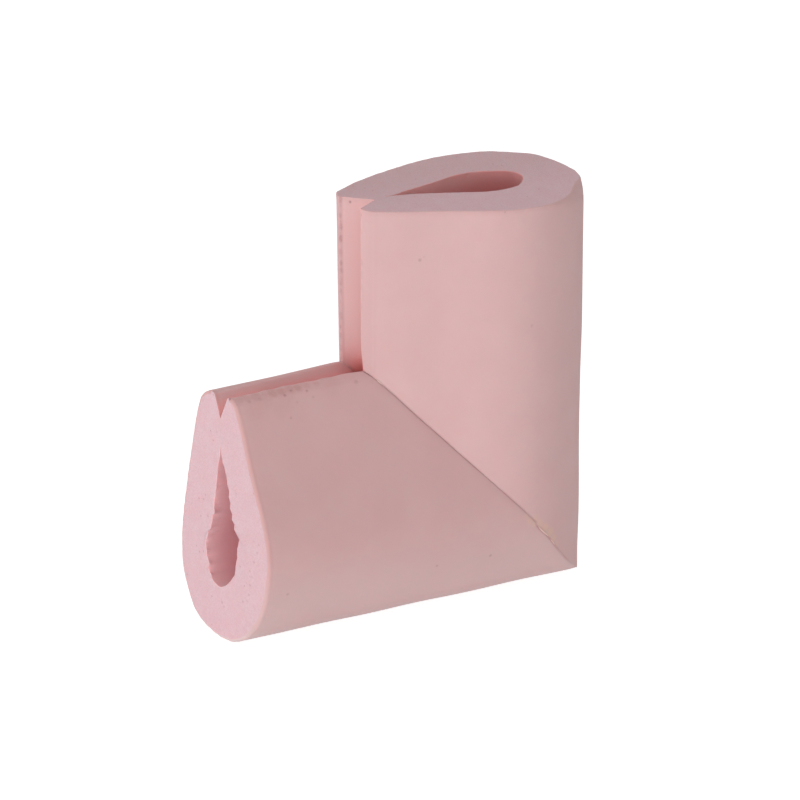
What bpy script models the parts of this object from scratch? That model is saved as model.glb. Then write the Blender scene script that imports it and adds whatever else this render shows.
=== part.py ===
"""Furniture corner protector: two lengths of one soft foam profile, mitred and glued into an L.

Frame, in metres: X and Z lie in the plane of the L, +Z is up and Y is its thickness.
The lips of both arms meet at the origin, where the furniture's own corner enters.
The upright arm runs up +Z and the level arm runs out along -X, with the noses outside.
"""
import math

import bmesh
import bpy
from mathutils import Vector

# Lengths of the two arms, from the outer corner to each cut end
UPRIGHT_LENGTH = 0.1045
LEVEL_LENGTH = 0.100

# Foam profile, outside: a drop with its two lips at one end and its nose at the other
PROFILE_DEPTH = 0.0635
PROFILE_WIDTH = 0.042
NOSE_LENGTH = 0.024
NOSE_POWER = 2.1
LIP_SPREAD = 0.013
LIP_FLARE = 0.55

# Foam profile, inside: a groove that guides the panel, a pinched slit and a drop hollow
WALL_THICKNESS = 0.0138
GROOVE_WIDTH = 0.008
GROOVE_DEPTH = 0.0062
SLIT_GAP = 0.0003
SLIT_LENGTH = 0.005
HOLLOW_NOSE_LENGTH = 0.0105
HOLLOW_NOSE_POWER = 2.0

# Glued mitre: a film of glue between the two cut faces, kept back from the skin
GLUE_THICKNESS = 0.0002
GLUE_CLEARANCE = 0.00012
GLUE_MARGIN = 0.0012

# Number of straight steps that stand for each round stretch of the outline
NOSE_STEPS = 22
FLANK_STEPS = 16
LIP_STEPS = 8
HOLLOW_FLANK_STEPS = 14
HOLLOW_NOSE_STEPS = 16

# Directions in which each arm runs, and in which its profile is deep
THICKNESS_AXIS = Vector((0.0, 1.0, 0.0))
UPRIGHT_ALONG = Vector((0.0, 0.0, 1.0))
UPRIGHT_DEEP = Vector((1.0, 0.0, 0.0))
LEVEL_ALONG = Vector((-1.0, 0.0, 0.0))
LEVEL_DEEP = Vector((0.0, 0.0, -1.0))

# Sizes that follow from the ones above
HALF_WIDTH = PROFILE_WIDTH / 2
WIDEST_DEPTH = PROFILE_DEPTH - NOSE_LENGTH
LIP_HALF_SPREAD = LIP_SPREAD / 2
GROOVE_HALF_WIDTH = GROOVE_WIDTH / 2
LIP_RADIUS = (LIP_HALF_SPREAD - GROOVE_HALF_WIDTH) / 2
SLIT_HALF_GAP = SLIT_GAP / 2
SLIT_END_DEPTH = GROOVE_DEPTH + SLIT_LENGTH
HOLLOW_HALF_WIDTH = HALF_WIDTH - WALL_THICKNESS
HOLLOW_END_DEPTH = PROFILE_DEPTH - WALL_THICKNESS
HOLLOW_WIDEST_DEPTH = HOLLOW_END_DEPTH - HOLLOW_NOSE_LENGTH
MITRE_HALF_GAP = GLUE_THICKNESS / 2 + GLUE_CLEARANCE

# Foam and glue: colour, roughness and metallic value
FOAM_COLOUR = (0.72, 0.44, 0.44, 1.0)
FOAM_ROUGHNESS = 0.8
GLUE_COLOUR = (0.66, 0.42, 0.24, 1.0)
GLUE_ROUGHNESS = 0.35
METALLIC = 0.0


def remove_everything():
    """Clear the scene that the script starts from."""
    for obj in list(bpy.data.objects):
        bpy.data.objects.remove(obj)


def make_material(name, colour, roughness):
    """Return a Principled material of one colour."""
    material = bpy.data.materials.new(name)
    material.use_nodes = True
    shader = material.node_tree.nodes["Principled BSDF"]
    shader.inputs["Base Color"].default_value = colour
    shader.inputs["Roughness"].default_value = roughness
    shader.inputs["Metallic"].default_value = METALLIC
    return material


def eased(depth, near, far, near_slope):
    """Half width at a depth, on a cubic from near to far that arrives at far level."""
    near_depth, near_half = near
    far_depth, far_half = far
    span = far_depth - near_depth
    t = (depth - near_depth) / span
    rise = 3 * t ** 2 - 2 * t ** 3
    lean = t ** 3 - 2 * t ** 2 + t
    return near_half + (far_half - near_half) * rise + near_slope * span * lean


def flank(near, far, near_slope, start_depth, steps):
    """Points of an eased side from start_depth to its far end, far end included."""
    points = []
    for i in range(steps + 1):
        depth = start_depth + (far[0] - start_depth) * i / steps
        points.append((depth, eased(depth, near, far, near_slope)))
    return points


def nose(widest_depth, length, half_width, power, steps):
    """Points of a blunt nose, from just past its widest place to its tip on the centre line."""
    points = []
    for i in range(1, steps + 1):
        angle = math.pi / 2 * i / steps
        depth = widest_depth + length * math.sin(angle) ** (2 / power)
        half = half_width * max(math.cos(angle), 0.0) ** (2 / power)
        points.append((depth, half if i < steps else 0.0))
    return points


def lip_tip():
    """Points of one rounded lip, from the side of its groove to its outer side."""
    middle = (LIP_HALF_SPREAD + GROOVE_HALF_WIDTH) / 2
    points = []
    for i in range(LIP_STEPS + 1):
        angle = math.pi * i / LIP_STEPS
        points.append((LIP_RADIUS - LIP_RADIUS * math.sin(angle), middle - LIP_RADIUS * math.cos(angle)))
    return points


def hollow_side(margin):
    """Points of one side of the hollow, from its tip by the nose to the end of the slit."""
    near = (SLIT_END_DEPTH, SLIT_HALF_GAP + margin)
    far = (HOLLOW_WIDEST_DEPTH, HOLLOW_HALF_WIDTH + margin)
    side = flank(near, far, 0.0, SLIT_END_DEPTH, HOLLOW_FLANK_STEPS)
    tip = nose(far[0], HOLLOW_NOSE_LENGTH + margin, far[1], HOLLOW_NOSE_POWER, HOLLOW_NOSE_STEPS)
    return (side + tip)[::-1]


def outer_side(margin, start_depth):
    """Points of one outer side, from start_depth below the lips to the tip of the nose."""
    near = (LIP_RADIUS, LIP_HALF_SPREAD - margin)
    far = (WIDEST_DEPTH, HALF_WIDTH - margin)
    side = flank(near, far, LIP_FLARE, start_depth, FLANK_STEPS)
    tip = nose(far[0], NOSE_LENGTH - margin, far[1], NOSE_POWER, NOSE_STEPS)
    return side + tip


def both_sides(half):
    """Close a half outline that starts and ends on the centre line with its mirror image."""
    mirrored = [(depth, -across) for depth, across in half[-2:0:-1]]
    return half + mirrored


def foam_section():
    """Outline of the foam profile: hollow, slit, groove, lip and outer side, on both halves."""
    slit_mouth = [(GROOVE_DEPTH, SLIT_HALF_GAP)]
    return both_sides(hollow_side(0.0) + slit_mouth + lip_tip() + outer_side(0.0, LIP_RADIUS)[1:])


def glue_section():
    """Outline of the glue film: the foam wall below the groove, kept back by its margin."""
    slit_mouth = [(GROOVE_DEPTH, SLIT_HALF_GAP + GLUE_MARGIN)]
    return both_sides(hollow_side(GLUE_MARGIN) + slit_mouth + outer_side(GLUE_MARGIN, GROOVE_DEPTH))


def loft(name, near_ring, far_ring, material):
    """Make a closed solid between two flat outlines with the same number of points."""
    bm = bmesh.new()
    near = [bm.verts.new(point) for point in near_ring]
    far = [bm.verts.new(point) for point in far_ring]
    bm.faces.new(near)
    bm.faces.new(far)
    for i in range(len(near)):
        bm.faces.new((near[i - 1], near[i], far[i], far[i - 1]))
    bmesh.ops.recalc_face_normals(bm, faces=bm.faces)
    mesh = bpy.data.meshes.new(name)
    bm.to_mesh(mesh)
    bm.free()
    mesh.shade_smooth()
    mesh.set_sharp_from_angle(angle=math.radians(35))
    mesh.materials.append(material)
    obj = bpy.data.objects.new(name, mesh)
    bpy.context.scene.collection.objects.link(obj)
    return obj


def make_arm(name, along, deep, length, material):
    """Extrude the foam profile from its square cut end down to the mitre."""
    cut_end = length - PROFILE_DEPTH
    mitre_shift = MITRE_HALF_GAP * math.sqrt(2)
    end_ring = []
    mitre_ring = []
    for depth, across in foam_section():
        base = deep * depth + THICKNESS_AXIS * across
        end_ring.append(base + along * cut_end)
        mitre_ring.append(base + along * (mitre_shift - depth))
    return loft(name, end_ring, mitre_ring, material)


def make_glue(name, material):
    """Lay the glue film on the mitre plane, halfway between the two cut faces."""
    normal = (UPRIGHT_ALONG - LEVEL_ALONG).normalized()
    front_ring = []
    back_ring = []
    for depth, across in glue_section():
        base = (UPRIGHT_DEEP + LEVEL_DEEP) * depth + THICKNESS_AXIS * across
        front_ring.append(base - normal * (GLUE_THICKNESS / 2))
        back_ring.append(base + normal * (GLUE_THICKNESS / 2))
    return loft(name, front_ring, back_ring, material)


def main():
    remove_everything()
    foam = make_material("pink_foam", FOAM_COLOUR, FOAM_ROUGHNESS)
    glue = make_material("amber_glue", GLUE_COLOUR, GLUE_ROUGHNESS)
    make_arm("upright_arm", UPRIGHT_ALONG, UPRIGHT_DEEP, UPRIGHT_LENGTH, foam)
    make_arm("level_arm", LEVEL_ALONG, LEVEL_DEEP, LEVEL_LENGTH, foam)
    make_glue("glue_film", glue)


main()
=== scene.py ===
# %% [markdown]
# # A foam corner protector
# The object is a soft pink L that pushes over the corner of a board. It is made of two lengths of
# the same foam profile: a drop shape with a hollow in it and a slit along its thin side. Both are
# cut at 45 degrees and glued together. The plain solids come from the frame, and this lesson gives
# them the look of real foam: a matt skin, pitted cut faces, a torn rim and a glued seam.

# %% Load the frame
import math

import bmesh
import bpy
import numpy as np
from mathutils import Matrix, Vector, noise


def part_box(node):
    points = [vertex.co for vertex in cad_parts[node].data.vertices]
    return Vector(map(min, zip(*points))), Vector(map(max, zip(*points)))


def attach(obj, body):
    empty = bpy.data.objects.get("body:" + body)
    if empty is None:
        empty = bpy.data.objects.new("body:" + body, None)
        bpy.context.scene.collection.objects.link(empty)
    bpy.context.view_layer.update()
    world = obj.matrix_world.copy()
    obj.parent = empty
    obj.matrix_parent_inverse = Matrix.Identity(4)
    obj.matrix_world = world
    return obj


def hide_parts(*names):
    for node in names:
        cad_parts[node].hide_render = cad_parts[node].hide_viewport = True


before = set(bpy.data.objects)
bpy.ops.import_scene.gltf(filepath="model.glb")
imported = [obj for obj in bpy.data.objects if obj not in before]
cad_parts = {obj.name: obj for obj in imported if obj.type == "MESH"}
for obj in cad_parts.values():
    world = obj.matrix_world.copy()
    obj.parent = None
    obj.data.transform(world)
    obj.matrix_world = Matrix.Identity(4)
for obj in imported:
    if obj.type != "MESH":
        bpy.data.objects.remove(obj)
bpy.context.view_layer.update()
MM = 0.001

print("nodes in the frame:", sorted(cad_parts))

# %% [markdown]
# The frame's solids say how deep the profile is and where each arm was cut off. Everything below
# is worked out from these few sizes, so the dressed foam stays where the plain solids are.

# %% Sizes read from the frame
upright_low, upright_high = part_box("upright_arm")
level_low, level_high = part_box("level_arm")
PROFILE_DEPTH = upright_high.x
HALF_WIDTH = upright_high.y
TOP_CUT = upright_high.z
LEVEL_CUT = level_low.x
FLOOR_HEIGHT = level_low.z

print("profile depth", round(PROFILE_DEPTH / MM, 2), "mm")
print("half width", round(HALF_WIDTH / MM, 2), "mm")

# %% [markdown]
# The camera comes first. A long lens far away gives the flat look of a catalogue picture: the
# upright edges stay almost parallel. The camera is placed by two angles round the object, a
# distance, and a small sideways and upward shift.

# %% Camera
CAMERA_AZIMUTH = math.radians(32.0)
CAMERA_ELEVATION = math.radians(19.85)
CAMERA_ROLL = math.radians(0.14)
CAMERA_DISTANCE = 1.2285
CAMERA_ASIDE = 0.01204
CAMERA_ABOVE = -0.0081
FOCAL_LENGTH_PIXELS = 5046.0
PICTURE_PIXELS = 800
SENSOR_WIDTH = 36.0


def camera_directions():
    """Forward, right and up directions of the camera."""
    sin_a, cos_a = math.sin(CAMERA_AZIMUTH), math.cos(CAMERA_AZIMUTH)
    sin_e, cos_e = math.sin(CAMERA_ELEVATION), math.cos(CAMERA_ELEVATION)
    forward = Vector((sin_a * cos_e, cos_a * cos_e, -sin_e))
    level_right = Vector((cos_a, -sin_a, 0.0))
    level_up = level_right.cross(forward)
    right = level_right * math.cos(CAMERA_ROLL) + level_up * math.sin(CAMERA_ROLL)
    up = right.cross(forward)
    return forward, right, up


def add_object(name, data):
    thing = bpy.data.objects.new(name, data)
    bpy.context.scene.collection.objects.link(thing)
    return thing


def add_camera():
    forward, right, up = camera_directions()
    data = bpy.data.cameras.new("catalogue_camera")
    data.sensor_width = SENSOR_WIDTH
    data.lens = FOCAL_LENGTH_PIXELS * SENSOR_WIDTH / PICTURE_PIXELS
    data.clip_end = 50.0
    camera = add_object("catalogue_camera", data)
    place = -forward * CAMERA_DISTANCE + right * CAMERA_ASIDE + up * CAMERA_ABOVE
    axes = Matrix((right, up, -forward)).transposed().to_4x4()
    camera.matrix_world = Matrix.Translation(place) @ axes
    bpy.context.scene.camera = camera
    return camera


camera = add_camera()
print("lens", round(camera.data.lens, 1), "mm at", round(CAMERA_DISTANCE, 2), "m")

# %% [markdown]
# The profile is a drop: two lips at its thin side, a V groove between them, a slit where the foam
# springs shut, and a hollow. Depth is measured from the lips towards the nose. These formulas give
# the true profile, as it left the die, half of it at a time.

# %% True profile
LIP_HALF_SPREAD = 6.5 * MM
LIP_DEPTH = 1.25 * MM
LIP_FLARE = 0.55
NOSE_LENGTH = 24.0 * MM
NOSE_POWER = 2.1
SLIT_END_DEPTH = 11.2 * MM
WALL_THICKNESS = 13.8 * MM
HOLLOW_NOSE_LENGTH = 10.5 * MM
WIDEST_DEPTH = PROFILE_DEPTH - NOSE_LENGTH
HOLLOW_HALF_WIDTH = HALF_WIDTH - WALL_THICKNESS
HOLLOW_END_DEPTH = PROFILE_DEPTH - WALL_THICKNESS
HOLLOW_WIDEST_DEPTH = HOLLOW_END_DEPTH - HOLLOW_NOSE_LENGTH


def eased(depth, near, far, near_slope):
    """Half width at a depth, on a cubic from near to far that arrives at far level."""
    span = far[0] - near[0]
    t = (depth - near[0]) / span
    rise = 3 * t ** 2 - 2 * t ** 3
    lean = t ** 3 - 2 * t ** 2 + t
    return near[1] + (far[1] - near[1]) * rise + near_slope * span * lean


def blunt(depth, start, length, half, power):
    """Half width in a blunt nose that starts at a depth."""
    reach = np.clip((depth - start) / length, 0, 1) ** (power / 2)
    return half * np.clip(1 - reach ** 2, 0, 1) ** (1 / power)


def skin_half(depth):
    flank = eased(depth, (LIP_DEPTH, LIP_HALF_SPREAD), (WIDEST_DEPTH, HALF_WIDTH), LIP_FLARE)
    nose = blunt(depth, WIDEST_DEPTH, NOSE_LENGTH, HALF_WIDTH, NOSE_POWER)
    return np.where(depth < WIDEST_DEPTH, flank, nose)


def hollow_half(depth):
    depth = np.maximum(depth, SLIT_END_DEPTH)
    side = eased(depth, (SLIT_END_DEPTH, 0), (HOLLOW_WIDEST_DEPTH, HOLLOW_HALF_WIDTH), 0)
    tip = blunt(depth, HOLLOW_WIDEST_DEPTH, HOLLOW_NOSE_LENGTH, HOLLOW_HALF_WIDTH, 2)
    return np.where(depth < HOLLOW_WIDEST_DEPTH, side, tip)


for shown_depth in (2, 20, 40, 60):
    half_there = float(skin_half(np.array([shown_depth * MM]))[0])
    print("half width at", shown_depth, "mm:", round(half_there / MM, 1), "mm")

# %% [markdown]
# Soft foam never keeps its true shape. Where each arm was cut, and at the corner, the profile is
# a little fuller or thinner. The two sides are measured apart, at a few depths, in millimetres,
# and a smooth curve runs through the measures. Each lip has an inner edge, a crest and a place
# where its round back meets the flank.

# %% How the foam differs from place to place
SKIN_MARKS = np.array([2, 8, 16, 26, 36, 46, 54, 59, 62, 63.5]) * MM
HOLLOW_MARKS = np.array([12, 18, 24, 30, 36, 42, 46, 49, 49.7]) * MM

TOP_PLACE = {
    "front_skin": (1.4, 0.8, -0.4, -0.1, 0.5, 0.0, 0.0, 0.0, -0.4, -1.5),
    "back_skin": (2.5, 2.35, 1.45, 0.5, 0.45, 0.9, 2.0, 2.45, 3.1, 1.5),
    "front_hollow": (-0.1, -0.4, -0.5, -0.7, -0.35, -0.5, -0.85, -1.65, -1.6),
    "back_hollow": (0.9, 1.5, 1.0, 0.6, 0.7, 0.3, 0.25, 1.3, 1.6),
    "front_lip": {"inner": (0.7, 4.1), "crest": 5.2, "back": 2.2},
    "back_lip": {"inner": (0.4, 4.9), "crest": 6.0, "back": 2.2},
    "groove_end": (6.6, -0.3),
    "slit_end": (9.2, 0.6),
    "hollow_longer": 0.0,
    "hollow_back_longer": 0.15,
    "cut_front_skin": (1.4, 0.8, -0.4, -0.1, 0.5, 0.0, -2.1, -3.2, -1.9, -1.5),
}
LEVEL_PLACE = {
    "front_skin": (0.6, 0.4, -0.6, 0.0, 0.7, -0.35, -1.05, -1.3, -1.2, -2.2),
    "back_skin": (2.2, 1.15, -0.75, -2.25, -2.0, -0.5, 1.25, 2.35, 3.0, 2.2),
    "front_hollow": (0.0, 0.3, 0.1, -0.8, -0.1, -0.8, -1.2, -2.2, -2.2),
    "back_hollow": (0.0, 0.3, -0.7, -1.7, -1.5, 0.9, 1.2, 2.4, 2.2),
    "hollow_longer": 0.9,
    "front_lip": {"inner": (0.6, 3.3), "crest": 4.4, "back": 1.6},
    "back_lip": {"inner": (0.5, 2.3), "crest": 4.2, "back": 3.6},
    "groove_end": (6.4, 0.0),
    "slit_end": (13.0, 0.2),
}
CORNER_PLACE = {
    "front_skin": (0.6, 0.4, -0.3, 0.0, 0.4, 0.2, 0.1, 0.3, 0.35, -0.8),
    "back_skin": (0.9, 0.6, 0.2, -0.5, -0.5, 0.0, 0.8, 1.2, 1.4, 0.8),
    "front_hollow": (0.0, -0.3, -0.2, -0.7, -0.6, -1.2, -1.3, -1.1, -0.7),
    "back_hollow": (0.3, 0.4, -0.3, -1.0, -0.7, 0.3, 0.4, 0.4, 0.7),
    "front_lip": {"inner": (0.5, 3.8), "crest": 4.6, "back": 1.9},
    "back_lip": {"inner": (0.4, 3.95), "crest": 4.7, "back": 2.0},
    "groove_end": (6.6, 0.0),
    "slit_end": (11.0, 0.2),
    "hollow_longer": 0.2,
}
POCKET_PLACE = CORNER_PLACE | {
    "front_lip": {"inner": (1.2, 4.6), "crest": 5.1, "back": 1.9},
    "groove_end": (10.5, 1.6),
}


def smooth_through(marks, values, at):
    """Read a natural cubic curve that passes through the values at the marks."""
    values = np.array(values)
    count = len(marks)
    gaps = np.diff(marks)
    rises = np.diff(values) / gaps
    matrix = np.eye(count)
    bends = np.zeros(count)
    for i in range(1, count - 1):
        matrix[i, i - 1:i + 2] = (gaps[i - 1], 2 * (gaps[i - 1] + gaps[i]), gaps[i])
        bends[i] = 6 * (rises[i] - rises[i - 1])
    bends = np.linalg.solve(matrix, bends)
    at = np.clip(at, marks[0], marks[-1])
    piece = np.clip(np.searchsorted(marks, at) - 1, 0, count - 2)
    gap = gaps[piece]
    before = at - marks[piece]
    after = marks[piece + 1] - at
    curved = (bends[piece] * after ** 3 + bends[piece + 1] * before ** 3) / (6 * gap)
    from_left = (values[piece] / gap - bends[piece] * gap / 6) * after
    from_right = (values[piece + 1] / gap - bends[piece + 1] * gap / 6) * before
    return curved + from_left + from_right


shown = smooth_through(SKIN_MARKS, TOP_PLACE["back_skin"], np.array([0.058]))
print("back of the top cut at 58 mm is fuller by", round(float(shown[0]), 1), "mm")

# %% [markdown]
# Two chains of points go round the profile. The outer chain runs from the crest of the front lip
# round the nose to the crest of the back lip. The inner chain joins the same two crests by way of
# the groove, the slit and the hollow. Each stretch has a fixed number of steps, so a point on one
# ring always meets its own place on the next ring, and creases stay straight.

# %% Chains of points round the profile
FRONT, BACK = -1, 1
FINE_STEPS = 320
LIP_STEPS, FLANK_STEPS, NOSE_STEPS = 16, 84, 100
CREST_STEPS, GROOVE_STEPS, SLIT_STEPS, SIDE_STEPS, TIP_STEPS = 5, 16, 12, 107, 60
CHAIN_STEPS = 2 * (LIP_STEPS + FLANK_STEPS + NOSE_STEPS)
OPENING_STEPS = CREST_STEPS + GROOVE_STEPS
LIP_ROUND_POWER = 1.4
SLIT_HALF_GAP = 0.03 * MM
SLIT_OPENING = 7.0 * MM


def even(depth, across, steps):
    """Divide a dense line again into equal steps along its length."""
    length = np.concatenate([[0], np.cumsum(np.hypot(np.diff(depth), np.diff(across)))])
    wanted = np.linspace(0, length[-1], steps + 1)
    return np.stack([np.interp(wanted, length, depth), np.interp(wanted, length, across)])


def joined(stretches):
    """Put stretches end to end, without doubling the points where they meet."""
    return np.concatenate([line[:, :-1] for line in stretches[:-1]] + [stretches[-1]], axis=1)


def side_name(side, word):
    return ("front_" if side == FRONT else "back_") + word


def skin_at(place, side, depth):
    change = smooth_through(SKIN_MARKS, place[side_name(side, "skin")], depth) * MM
    return side * (skin_half(depth) + change)


def outer_side(place, side):
    """Half of the outer chain, from the crest of a lip to the tip of the nose."""
    lip = place[side_name(side, "lip")]
    crest, lip_back = lip["crest"] * MM, lip["back"] * MM
    turn = np.linspace(0, math.pi / 2, FINE_STEPS)
    rise = np.sin(turn) ** (2 / LIP_ROUND_POWER)
    fall = 1 - np.clip(np.cos(turn), 0, 1) ** (2 / LIP_ROUND_POWER)
    far = skin_at(place, side, np.array([lip_back]))[0]
    lip_line = even(lip_back * fall, side * crest + (far - side * crest) * rise, LIP_STEPS)
    flank_depth = np.linspace(lip_back, WIDEST_DEPTH, FINE_STEPS)
    flank_line = even(flank_depth, skin_at(place, side, flank_depth), FLANK_STEPS)
    nose_depth = WIDEST_DEPTH + NOSE_LENGTH * np.sin(turn)
    nose_line = even(nose_depth, skin_at(place, side, nose_depth), NOSE_STEPS)
    return joined([lip_line, flank_line, nose_line])


def inner_side(place, side):
    """Half of the inner chain, from the crest of a lip to the end of the hollow."""
    lip = place[side_name(side, "lip")]
    inner_depth, inner_half = (value * MM for value in lip["inner"])
    groove_depth, groove_middle = (value * MM for value in place["groove_end"])
    slit_depth, slit_middle = (value * MM for value in place["slit_end"])
    turn = np.linspace(0, math.pi / 2, FINE_STEPS)
    crest_across = lip["crest"] * MM - (lip["crest"] * MM - inner_half) * np.sin(turn)
    crest_line = even(inner_depth * (1 - np.cos(turn)), side * crest_across, CREST_STEPS)
    groove_far = groove_middle + side * SLIT_HALF_GAP
    groove_line = even(
        np.linspace(inner_depth, groove_depth, FINE_STEPS),
        np.linspace(side * inner_half, groove_far, FINE_STEPS),
        GROOVE_STEPS,
    )
    slit_far = slit_middle + side * SLIT_HALF_GAP
    slit_line = even(
        np.linspace(groove_depth, slit_depth, FINE_STEPS),
        np.linspace(groove_far, slit_far, FINE_STEPS),
        SLIT_STEPS,
    )
    side_depth = np.linspace(slit_depth, HOLLOW_WIDEST_DEPTH, FINE_STEPS)
    tip_depth = HOLLOW_WIDEST_DEPTH + HOLLOW_NOSE_LENGTH * np.sin(turn)
    tip_stretch = place["hollow_longer"] * MM * np.sin(turn)
    if side == BACK:
        tip_stretch += place.get("hollow_back_longer", 0.0) * MM * np.sin(2 * turn)
    parts = ((side_depth, 0.0, SIDE_STEPS), (tip_depth, tip_stretch, TIP_STEPS))
    lines = []
    for depth, stretch, steps in parts:
        change = smooth_through(HOLLOW_MARKS, place[side_name(side, "hollow")], depth) * MM
        open_t = np.clip((depth - slit_depth) / SLIT_OPENING, 0, 1)
        weight = open_t ** 2 * (3 - 2 * open_t)
        across = slit_far * (1 - weight) + side * (hollow_half(depth) + change) * weight
        lines.append(even(depth + stretch, across, steps))
    return joined([crest_line, groove_line, slit_line] + lines)


def both_chains(place):
    """Outer and inner chain, each from the front crest to the back crest."""
    chains = []
    for half_chain in (outer_side, inner_side):
        front, back = half_chain(place, FRONT), half_chain(place, BACK)
        chains.append(np.concatenate([front, back[:, -2::-1]], axis=1))
    return chains


def section_loop(place):
    """Closed loop round the section: the outer chain, then the inner chain backwards."""
    outer, inner = both_chains(place)
    loop = np.concatenate([outer, inner[:, -2:0:-1]], axis=1)
    return loop[0], loop[1]


loop_depth, loop_across = section_loop(TOP_PLACE)
print("closed loop of", len(loop_depth), "points round the top cut")

# %% [markdown]
# Each arm is a loft: straight strands run from every point of the ring at its cut end to the same
# point of the ring at the seam. Both arms share one seam ring, so they meet exactly. The cuts were
# made by hand: each end leans a little, and the seam wanders off the true diagonal, with a small
# jog where the two lengths slipped. At both cuts the blade also pushed the nose out a little, and
# the back lip of the level arm sags.

# %% Rings in space
TOP_CUT_LEAN = (-0.025, 0.041)
LEVEL_CUT_LEAN = (-0.008, -0.022)
SEAM_MARKS = np.array([0, 1.5, 3, 7, 10, 12, 16, 21, 27, 33, 40, 43.5, 46, 49.5, 54, 58, 63.5]) * MM
SEAM_WANDER = (
    0.5, 0.52, 0.53, 0.42, 0.24, 0.15, 0.04, -0.16, -0.32, -0.43, -0.52, -0.64, -0.66,
    -1.0, -1.13, -0.82, 0.3,
)
SEAM_JOG, SEAM_JOG_START, SEAM_JOG_END = -0.35, 41.2 * MM, 42.1 * MM
SEAM_FADE = 14 * MM
TOP_NOSE_PUSH, LEVEL_NOSE_PUSH = 0.8 * MM, 0.7 * MM
LEVEL_LIP_SAG = 0.5 * MM
GLUE_HALF_GAP = 0.01 * MM


def smooth_step(value, low, high):
    t = np.clip((value - low) / (high - low), 0, 1)
    return t * t * (3 - 2 * t)


def fading(value, low, high):
    return 1 - smooth_step(value, low, high)


def top_ring(depth, across):
    """The top cut: it leans, and the back of the nose was pushed out by the blade."""
    at_back = smooth_step(across, -12 * MM, -5 * MM) * smooth_step(depth, 50 * MM, 60 * MM)
    lean = TOP_CUT_LEAN[0] * (depth - PROFILE_DEPTH / 2) + TOP_CUT_LEAN[1] * across
    return np.stack([depth + TOP_NOSE_PUSH * at_back, across, TOP_CUT + lean], axis=-1)


def level_ring(depth, across):
    """The level cut: it leans, the back lip sags a little and the nose hangs lower."""
    back_lip = smooth_step(across, 0, 3 * MM) * fading(depth, 0, 8 * MM)
    back_nose = smooth_step(across, -9 * MM, -2 * MM) * smooth_step(depth, 53 * MM, 61 * MM)
    sag = LEVEL_LIP_SAG * back_lip + LEVEL_NOSE_PUSH * back_nose
    lean = LEVEL_CUT_LEAN[0] * (PROFILE_DEPTH / 2 - depth) + LEVEL_CUT_LEAN[1] * across
    return np.stack([LEVEL_CUT + lean, across, -depth - sag], axis=-1)


def seam_ring(depth, across):
    """The mitre: it wanders on the front flank and runs true on the back."""
    jog = SEAM_JOG * smooth_step(depth, SEAM_JOG_START, SEAM_JOG_END)
    wander = (smooth_through(SEAM_MARKS, SEAM_WANDER, depth) + jog) * MM
    wander = wander * np.clip(0.5 - across / SEAM_FADE, 0, 1)
    return np.stack([depth + wander, across, wander - depth], axis=-1)


def inward(depth, across):
    """Unit directions in the plane of the section that point from its outline into the foam."""
    step_depth = np.roll(depth, -1) - np.roll(depth, 1)
    step_across = np.roll(across, -1) - np.roll(across, 1)
    length = np.hypot(step_depth, step_across)
    return -step_across / length, step_depth / length


into = inward(loop_depth, loop_across)
print("the front flank points inward to +Y:", bool(into[1][LIP_STEPS + 20] > 0))

# %% [markdown]
# Foam cut with a blade has edges that are crisp but still soft, and its skin is never quite even.
# The rows of the loft crowd together near both ends, where the edges round over and the rim of
# the hollow is ragged. Slow noise moves the skin in and out by a fraction of a millimetre, and the
# skin dips a hair's breadth along the seam.

# %% Rows, rounded edges and waves
END_ROWS = np.array([0, 0.03, 0.1, 0.22, 0.4, 0.62, 0.9, 1.3, 1.9, 2.7, 3.8, 5.2, 7]) * MM
MIDDLE_ROWS = 30
HOLLOW_EDGE = 0.12 * MM
SEAM_DIP, SEAM_WIDTH = 0.05 * MM, 0.6 * MM
SKIN_WAVE, SKIN_WAVE_SIZE = 0.2 * MM, 17 * MM
RIM_WAVE, RIM_WAVE_SIZE, RIM_REACH = 0.18 * MM, 1.9 * MM, 1.3 * MM


def strand_rows(lengths):
    """Distances from the cut end of every row, for strands of these lengths."""
    reach = END_ROWS[-1]
    rows = [np.full_like(lengths, distance) for distance in END_ROWS]
    for t in np.linspace(0, 1, MIDDLE_ROWS + 2)[1:-1]:
        rows.append(reach + (lengths - 2 * reach) * t)
    rows += [lengths - distance for distance in END_ROWS[::-1]]
    return np.array(rows)


def draw_in(distance, radius):
    """How far a rounded edge of this radius draws in at a distance from the cut."""
    rest = np.clip(radius - distance, 0, radius)
    return radius - np.sqrt(np.clip(radius ** 2 - rest ** 2, 0, None))


def edge_radius(depth, skin, skin_edge):
    """Radius of the cut edge: soft on the skin, almost sharp along the groove and slit."""
    inside = HOLLOW_EDGE * smooth_step(depth, SLIT_END_DEPTH, SLIT_END_DEPTH + 12 * MM) + 0.02 * MM
    return np.where(skin, skin_edge, inside)


def waves(points, size, seed):
    """Smooth noise from about -1 to 1 at every point."""
    offset = Vector((seed * 17.3, seed * 5.1, seed * 9.7))
    values = [noise.noise(Vector(point) / size + offset) for point in points.reshape(-1, 3)]
    return np.array(values).reshape(points.shape[:-1])


def bump_at(value, middle, width):
    return np.exp(-((value - middle) / width) ** 2)


print("rows in each loft:", 2 * len(END_ROWS) + MIDDLE_ROWS)

# %% [markdown]
# The blade left its marks. At the top it squeezed the front corner of the nose, which stayed drawn
# in and fills out again a few millimetres lower. At the level end the rim of the hollow tore: small
# teeth stand into the hollow and small bites are missing. Each tear on a side has a depth, a height
# and a width. Wide tears stay low, or the grid of the cut face would fold over itself. The front
# lip of the level arm is not quite straight either, and two slow waves that beat against each
# other give it an uneven line. Where the grooves meet, the foam stands open in a small pocket.

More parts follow.
